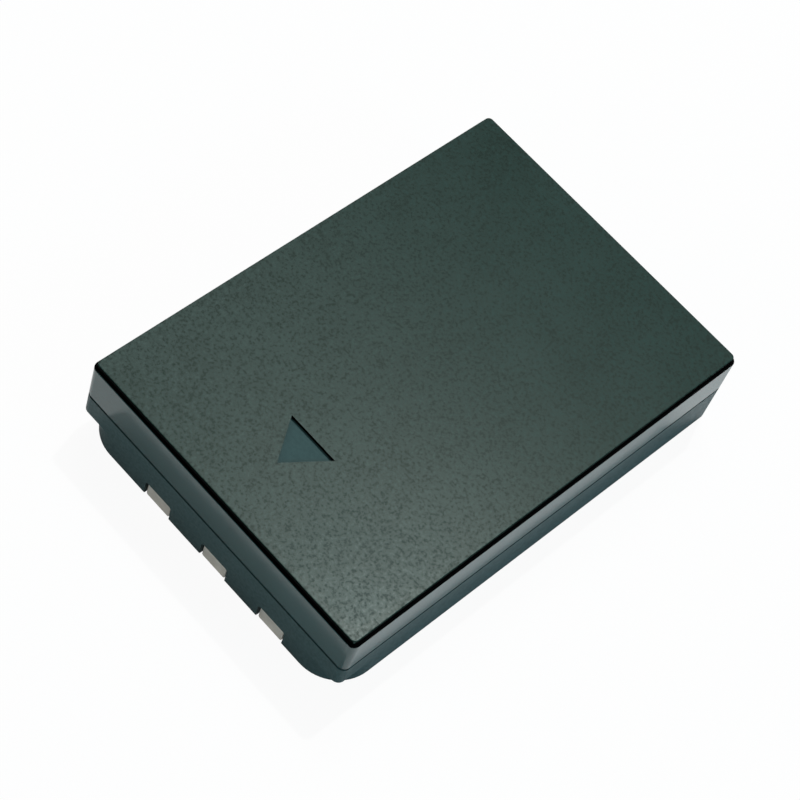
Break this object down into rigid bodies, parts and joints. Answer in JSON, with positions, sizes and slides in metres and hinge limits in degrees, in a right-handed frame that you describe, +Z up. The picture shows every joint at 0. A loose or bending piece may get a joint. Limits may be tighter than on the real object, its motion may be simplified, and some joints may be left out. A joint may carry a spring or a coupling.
{
  "type": "camera battery",
  "caption": "Flat rechargeable camera battery with a raised top panel, an arrow in it and three slotted contacts at one end.",
  "frame": {"origin": "middle of the bounding box's underside, where the battery lies on a surface", "axes": "+X across the width, +Y along the length away from the contact end, +Z up through the thickness"},
  "size_m": [0.032, 0.0464, 0.0095],
  "materials": {
    "panel_plastic": "fine grained matt moulding",
    "upper_plastic": "fine satin moulding",
    "lower_plastic": "fine satin moulding",
    "contact_metal": "bright plated",
    "can_metal": "drawn, plain",
    "strip_metal": "plain nickel",
    "seal_plastic": "moulded",
    "sheet": "plain insulating sheet",
    "board_laminate": "coated laminate",
    "chip_plastic": "moulded",
    "chip_ceramic": "fired",
    "foam": "closed-cell foam",
    "adhesive": "adhesive pad"
  },
  "bodies": {
    "root": {"top_panel": "panel_plastic", "upper_case": "upper_plastic", "lower_case": "lower_plastic", "positive_contact": "contact_metal", "sense_contact": "contact_metal", "negative_contact": "contact_metal", "cell": "can_metal", "terminal_gasket": "seal_plastic", "terminal_rivet": "strip_metal", "fill_plug": "can_metal", "header_insulator": "sheet", "positive_tab": "strip_metal", "negative_tab": "strip_metal", "thermal_fuse": "chip_plastic", "fuse_tab": "strip_metal", "circuit_board": "board_laminate", "protection_ic": "chip_plastic", "power_switch": "chip_plastic", "resistors": "chip_ceramic", "capacitors": "chip_ceramic", "temperature_sensor": "chip_ceramic", "lower_pad": "adhesive", "upper_pad": "adhesive", "rear_cushion": "foam"}
  },
  "joints": []
}
